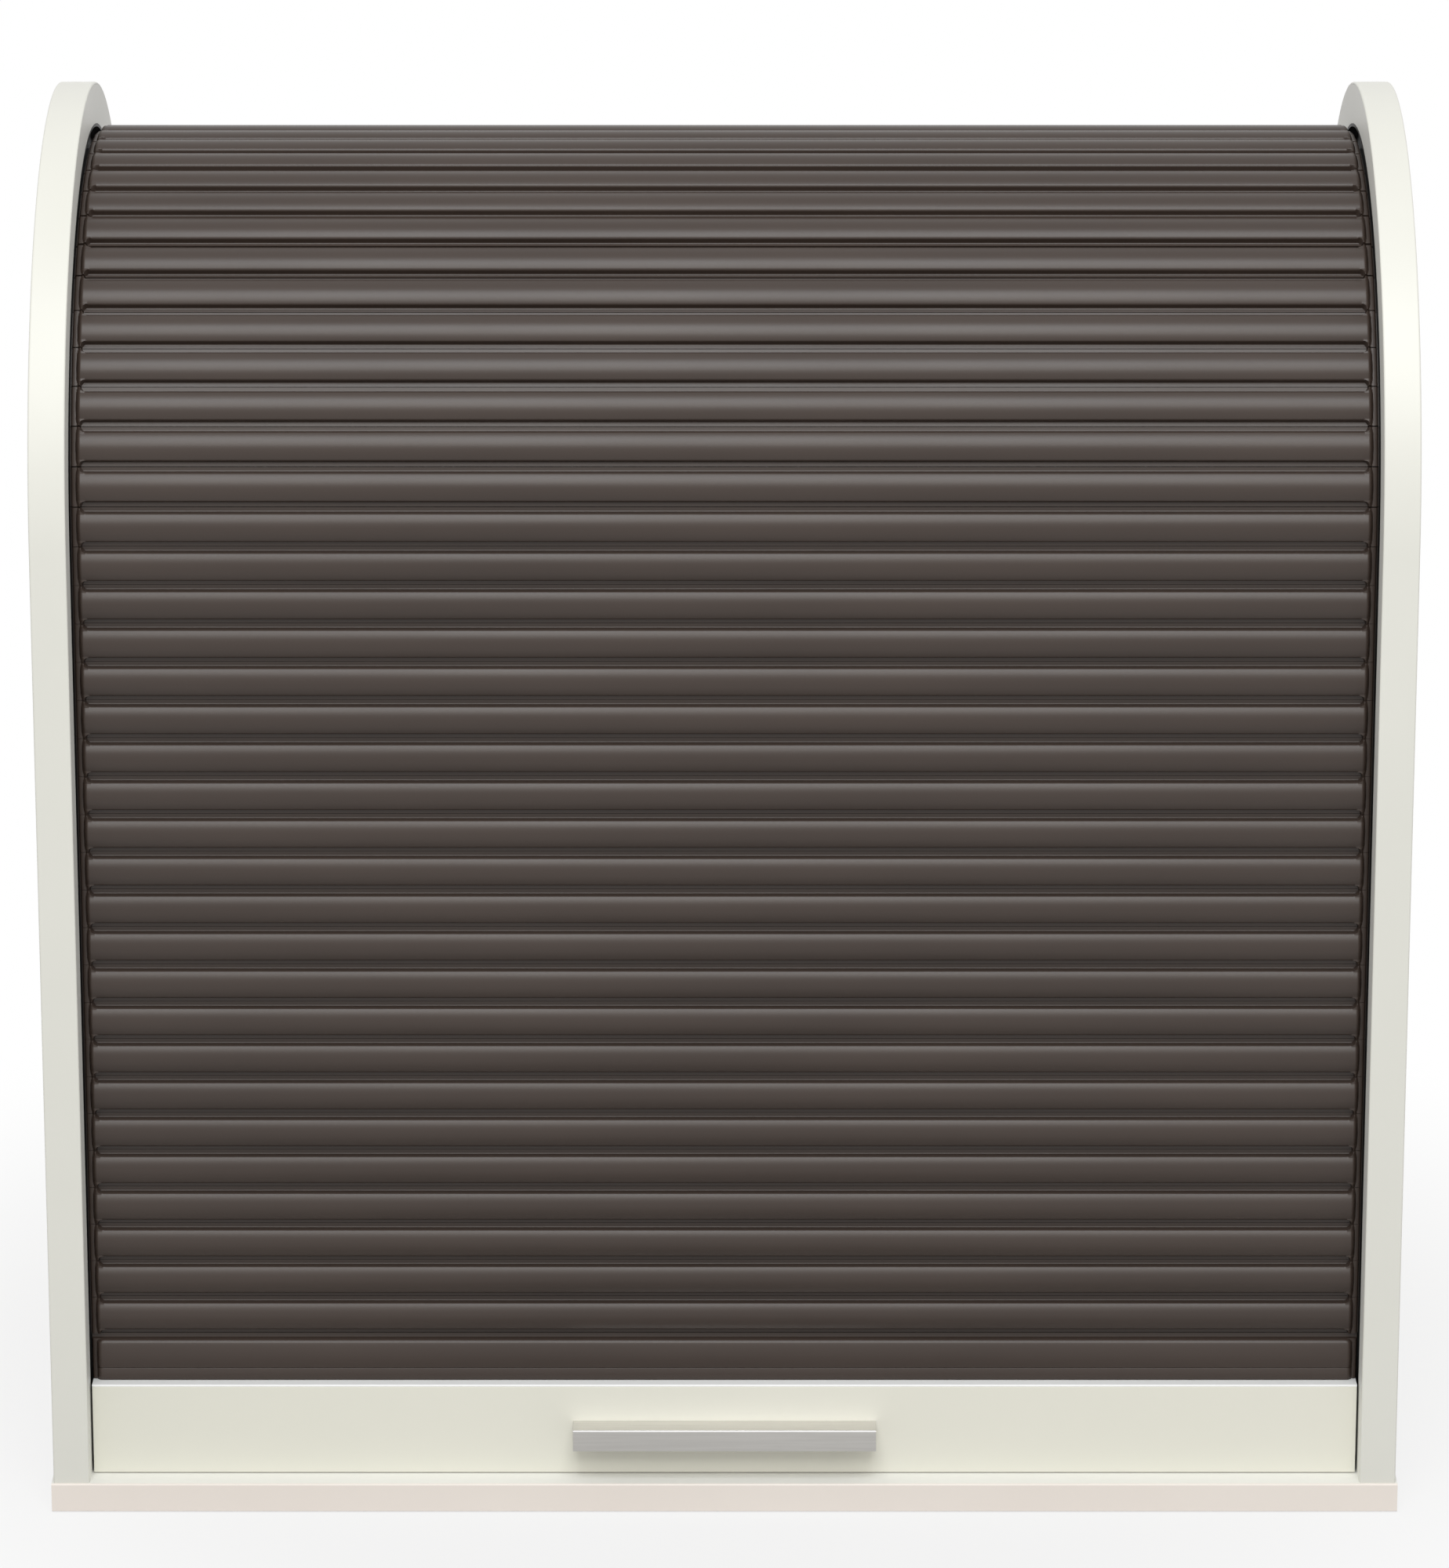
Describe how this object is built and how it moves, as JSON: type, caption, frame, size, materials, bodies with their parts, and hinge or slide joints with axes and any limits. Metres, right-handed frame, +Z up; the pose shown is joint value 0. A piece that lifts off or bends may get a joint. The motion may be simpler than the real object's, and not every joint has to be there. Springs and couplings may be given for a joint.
{
  "type": "tambour door cabinet",
  "caption": "Worktop cupboard with half-round side panels and a slatted roll-up curtain that rises with its pale closing rail, turns over the arch and hangs behind an inner back.",
  "frame": {"origin": "middle of the base board's underside", "axes": "+Z up, the curtain and handle face -Y, +X to the right of someone facing the door"},
  "size_m": [0.6, 0.35, 0.611],
  "materials": {
    "white_board": "melamine-faced chipboard, warm white, fine satin",
    "edge_strip": "plain edge strip, warm white",
    "track_plastic": "black extruded plastic",
    "hardboard": "painted hardboard, warm white",
    "curtain_plastic": "satin moulded plastic, dark grey-brown",
    "handle_aluminium": "matt anodised",
    "screw_steel": "zinc-plated",
    "cam_zinc": "die-cast zinc",
    "beech": "fluted beech",
    "glide_plastic": "black acetal",
    "buffer_rubber": "translucent soft pad"
  },
  "bodies": {
    "carcass": {"left_side_panel": "white_board", "right_side_panel": "white_board", "left_edge_band": "edge_strip", "right_edge_band": "edge_strip", "left_guide_track": "track_plastic", "right_guide_track": "track_plastic", "base_board": "white_board", "base_edge_band": "edge_strip", "top_board": "white_board", "shelf": "white_board", "shelf_edge_band": "edge_strip", "inner_back_panel": "hardboard", "rear_panel": "hardboard", "base_screws": "screw_steel", "rear_panel_screws": "screw_steel", "cam_bolts": "screw_steel", "cam_housings": "cam_zinc", "wood_dowels": "beech", "shelf_pins": "screw_steel"},
    "closing_rail": {"closing_rail": "white_board", "rail_glides": "glide_plastic", "rail_buffers": "buffer_rubber", "pull_handle": "handle_aluminium", "handle_screws": "screw_steel", "lead_slat": "curtain_plastic", "lead_slat_screws": "screw_steel", "slat_01": "curtain_plastic"},
    "slat_02": {"slat_02": "curtain_plastic"},
    "slat_03": {"slat_03": "curtain_plastic"},
    "slat_04": {"slat_04": "curtain_plastic"},
    "slat_05": {"slat_05": "curtain_plastic"},
    "slat_06": {"slat_06": "curtain_plastic"},
    "slat_07": {"slat_07": "curtain_plastic"},
    "slat_08": {"slat_08": "curtain_plastic"},
    "slat_09": {"slat_09": "curtain_plastic"},
    "slat_10": {"slat_10": "curtain_plastic"},
    "slat_11": {"slat_11": "curtain_plastic"},
    "slat_12": {"slat_12": "curtain_plastic"},
    "slat_13": {"slat_13": "curtain_plastic"},
    "slat_14": {"slat_14": "curtain_plastic"},
    "slat_15": {"slat_15": "curtain_plastic"},
    "slat_16": {"slat_16": "curtain_plastic"},
    "slat_17": {"slat_17": "curtain_plastic"},
    "slat_18": {"slat_18": "curtain_plastic"},
    "slat_19": {"slat_19": "curtain_plastic"},
    "slat_20": {"slat_20": "curtain_plastic"},
    "slat_21": {"slat_21": "curtain_plastic"},
    "arch_slats": {"arch_slats": "curtain_plastic"},
    "rear_slats_01": {"rear_slats_01": "curtain_plastic"},
    "rear_slats_02": {"rear_slats_02": "curtain_plastic"},
    "rear_slats_03": {"rear_slats_03": "curtain_plastic"},
    "rear_slats_04": {"rear_slats_04": "curtain_plastic"},
    "rear_slats_05": {"rear_slats_05": "curtain_plastic"},
    "rear_slats_06": {"rear_slats_06": "curtain_plastic"},
    "rear_slats_07": {"rear_slats_07": "curtain_plastic"},
    "rear_slats_08": {"rear_slats_08": "curtain_plastic"},
    "rear_slats_09": {"rear_slats_09": "curtain_plastic"},
    "rear_slats_10": {"rear_slats_10": "curtain_plastic"}
  },
  "joints": [
    {"name": "door_lift", "type": "slide", "parent": "carcass", "child": "closing_rail", "axis": [0, 0, 1], "range_m": [0, 0.353]},
    {"name": "slat_02_turn", "type": "hinge", "parent": "carcass", "child": "slat_02", "pos_m": [0, 2.88955, 0.2701], "axis": [-1, 0, 0], "range_deg": [0, 6.67]},
    {"name": "slat_03_turn", "type": "hinge", "parent": "carcass", "child": "slat_03", "pos_m": [0, 1.36484, 0.2787], "axis": [-1, 0, 0], "range_deg": [0, 13.31]},
    {"name": "slat_04_turn", "type": "hinge", "parent": "carcass", "child": "slat_04", "pos_m": [0, 0.85498, 0.2873], "axis": [-1, 0, 0], "range_deg": [0, 19.96]},
    {"name": "slat_05_turn", "type": "hinge", "parent": "carcass", "child": "slat_05", "pos_m": [0, 0.59907, 0.2959], "axis": [-1, 0, 0], "range_deg": [0, 26.6]},
    {"name": "slat_06_turn", "type": "hinge", "parent": "carcass", "child": "slat_06", "pos_m": [0, 0.44494, 0.3045], "axis": [-1, 0, 0], "range_deg": [0, 33.25]},
    {"name": "slat_07_turn", "type": "hinge", "parent": "carcass", "child": "slat_07", "pos_m": [0, 0.34186, 0.3131], "axis": [-1, 0, 0], "range_deg": [0, 39.89]},
    {"name": "slat_08_turn", "type": "hinge", "parent": "carcass", "child": "slat_08", "pos_m": [0, 0.26809, 0.3217], "axis": [-1, 0, 0], "range_deg": [0, 46.54]},
    {"name": "slat_09_turn", "type": "hinge", "parent": "carcass", "child": "slat_09", "pos_m": [0, 0.21275, 0.3303], "axis": [-1, 0, 0], "range_deg": [0, 53.18]},
    {"name": "slat_10_turn", "type": "hinge", "parent": "carcass", "child": "slat_10", "pos_m": [0, 0.16982, 0.3389], "axis": [-1, 0, 0], "range_deg": [0, 59.83]},
    {"name": "slat_11_turn", "type": "hinge", "parent": "carcass", "child": "slat_11", "pos_m": [0, 0.13566, 0.3475], "axis": [-1, 0, 0], "range_deg": [0, 66.47]},
    {"name": "slat_12_turn", "type": "hinge", "parent": "carcass", "child": "slat_12", "pos_m": [0, 0.10798, 0.3561], "axis": [-1, 0, 0], "range_deg": [0, 73.12]},
    {"name": "slat_13_turn", "type": "hinge", "parent": "carcass", "child": "slat_13", "pos_m": [0, 0.08525, 0.3647], "axis": [-1, 0, 0], "range_deg": [0, 79.76]},
    {"name": "slat_14_turn", "type": "hinge", "parent": "carcass", "child": "slat_14", "pos_m": [0, 0.06641, 0.3733], "axis": [-1, 0, 0], "range_deg": [0, 86.41]},
    {"name": "slat_15_turn", "type": "hinge", "parent": "carcass", "child": "slat_15", "pos_m": [0, 0.05071, 0.3819], "axis": [-1, 0, 0], "range_deg": [0, 93.05]},
    {"name": "slat_16_turn", "type": "hinge", "parent": "carcass", "child": "slat_16", "pos_m": [0, 0.03759, 0.3905], "axis": [-1, 0, 0], "range_deg": [0, 99.7]},
    {"name": "slat_17_turn", "type": "hinge", "parent": "carcass", "child": "slat_17", "pos_m": [0, 0.02664, 0.3991], "axis": [-1, 0, 0], "range_deg": [0, 106.34]},
    {"name": "slat_18_turn", "type": "hinge", "parent": "carcass", "child": "slat_18", "pos_m": [0, 0.01757, 0.4077], "axis": [-1, 0, 0], "range_deg": [0, 112.99]},
    {"name": "slat_19_turn", "type": "hinge", "parent": "carcass", "child": "slat_19", "pos_m": [0, 0.01013, 0.4163], "axis": [-1, 0, 0], "range_deg": [0, 119.63]},
    {"name": "slat_20_turn", "type": "hinge", "parent": "carcass", "child": "slat_20", "pos_m": [0, 0.00414, 0.4249], "axis": [-1, 0, 0], "range_deg": [0, 126.28]},
    {"name": "slat_21_turn", "type": "hinge", "parent": "carcass", "child": "slat_21", "pos_m": [0, -0.00054, 0.4335], "axis": [-1, 0, 0], "range_deg": [0, 132.93]},
    {"name": "arch_slats_turn", "type": "hinge", "parent": "carcass", "child": "arch_slats", "pos_m": [0, -0.0025, 0.438], "axis": [-1, 0, 0], "range_deg": [0, 136.4]},
    {"name": "rear_slats_01_turn", "type": "hinge", "parent": "carcass", "child": "rear_slats_01", "pos_m": [0, -0.00856, 0.42585], "axis": [-1, 0, 0], "range_deg": [0, 127.01]},
    {"name": "rear_slats_02_turn", "type": "hinge", "parent": "carcass", "child": "rear_slats_02", "pos_m": [0, -0.02167, 0.40865], "axis": [-1, 0, 0], "range_deg": [0, 113.72]},
    {"name": "rear_slats_03_turn", "type": "hinge", "parent": "carcass", "child": "rear_slats_03", "pos_m": [0, -0.04128, 0.39145], "axis": [-1, 0, 0], "range_deg": [0, 100.43]},
    {"name": "rear_slats_04_turn", "type": "hinge", "parent": "carcass", "child": "rear_slats_04", "pos_m": [0, -0.06954, 0.37425], "axis": [-1, 0, 0], "range_deg": [0, 87.14]},
    {"name": "rear_slats_05_turn", "type": "hinge", "parent": "carcass", "child": "rear_slats_05", "pos_m": [0, -0.11026, 0.35705], "axis": [-1, 0, 0], "range_deg": [0, 73.85]},
    {"name": "rear_slats_06_turn", "type": "hinge", "parent": "carcass", "child": "rear_slats_06", "pos_m": [0, -0.17067, 0.33985], "axis": [-1, 0, 0], "range_deg": [0, 60.56]},
    {"name": "rear_slats_07_turn", "type": "hinge", "parent": "carcass", "child": "rear_slats_07", "pos_m": [0, -0.26621, 0.32265], "axis": [-1, 0, 0], "range_deg": [0, 47.27]},
    {"name": "rear_slats_08_turn", "type": "hinge", "parent": "carcass", "child": "rear_slats_08", "pos_m": [0, -0.4366, 0.30545], "axis": [-1, 0, 0], "range_deg": [0, 33.98]},
    {"name": "rear_slats_09_turn", "type": "hinge", "parent": "carcass", "child": "rear_slats_09", "pos_m": [0, -0.82371, 0.28825], "axis": [-1, 0, 0], "range_deg": [0, 20.69]},
    {"name": "rear_slats_10_turn", "type": "hinge", "parent": "carcass", "child": "rear_slats_10", "pos_m": [0, -2.59171, 0.27105], "axis": [-1, 0, 0], "range_deg": [0, 7.4]}
  ],
  "couplings": [
    {"joint": "slat_02_turn", "follows": "door_lift", "rad_per_m": 0.32856},
    {"joint": "slat_03_turn", "follows": "door_lift", "rad_per_m": 0.65712},
    {"joint": "slat_04_turn", "follows": "door_lift", "rad_per_m": 0.98567},
    {"joint": "slat_05_turn", "follows": "door_lift", "rad_per_m": 1.3142},
    {"joint": "slat_06_turn", "follows": "door_lift", "rad_per_m": 1.6428},
    {"joint": "slat_07_turn", "follows": "door_lift", "rad_per_m": 1.9713},
    {"joint": "slat_08_turn", "follows": "door_lift", "rad_per_m": 2.2999},
    {"joint": "slat_09_turn", "follows": "door_lift", "rad_per_m": 2.6285},
    {"joint": "slat_10_turn", "follows": "door_lift", "rad_per_m": 2.957},
    {"joint": "slat_11_turn", "follows": "door_lift", "rad_per_m": 3.2856},
    {"joint": "slat_12_turn", "follows": "door_lift", "rad_per_m": 3.6141},
    {"joint": "slat_13_turn", "follows": "door_lift", "rad_per_m": 3.9427},
    {"joint": "slat_14_turn", "follows": "door_lift", "rad_per_m": 4.2713},
    {"joint": "slat_15_turn", "follows": "door_lift", "rad_per_m": 4.5998},
    {"joint": "slat_16_turn", "follows": "door_lift", "rad_per_m": 4.9284},
    {"joint": "slat_17_turn", "follows": "door_lift", "rad_per_m": 5.2569},
    {"joint": "slat_18_turn", "follows": "door_lift", "rad_per_m": 5.5855},
    {"joint": "slat_19_turn", "follows": "door_lift", "rad_per_m": 5.9141},
    {"joint": "slat_20_turn", "follows": "door_lift", "rad_per_m": 6.2426},
    {"joint": "slat_21_turn", "follows": "door_lift", "rad_per_m": 6.5712},
    {"joint": "arch_slats_turn", "follows": "door_lift", "rad_per_m": 6.7431},
    {"joint": "rear_slats_01_turn", "follows": "door_lift", "rad_per_m": 6.2789},
    {"joint": "rear_slats_02_turn", "follows": "door_lift", "rad_per_m": 5.6218},
    {"joint": "rear_slats_03_turn", "follows": "door_lift", "rad_per_m": 4.9646},
    {"joint": "rear_slats_04_turn", "follows": "door_lift", "rad_per_m": 4.3075},
    {"joint": "rear_slats_05_turn", "follows": "door_lift", "rad_per_m": 3.6504},
    {"joint": "rear_slats_06_turn", "follows": "door_lift", "rad_per_m": 2.9933},
    {"joint": "rear_slats_07_turn", "follows": "door_lift", "rad_per_m": 2.3362},
    {"joint": "rear_slats_08_turn", "follows": "door_lift", "rad_per_m": 1.6791},
    {"joint": "rear_slats_09_turn", "follows": "door_lift", "rad_per_m": 1.0219},
    {"joint": "rear_slats_10_turn", "follows": "door_lift", "rad_per_m": 0.36482}
  ]
}
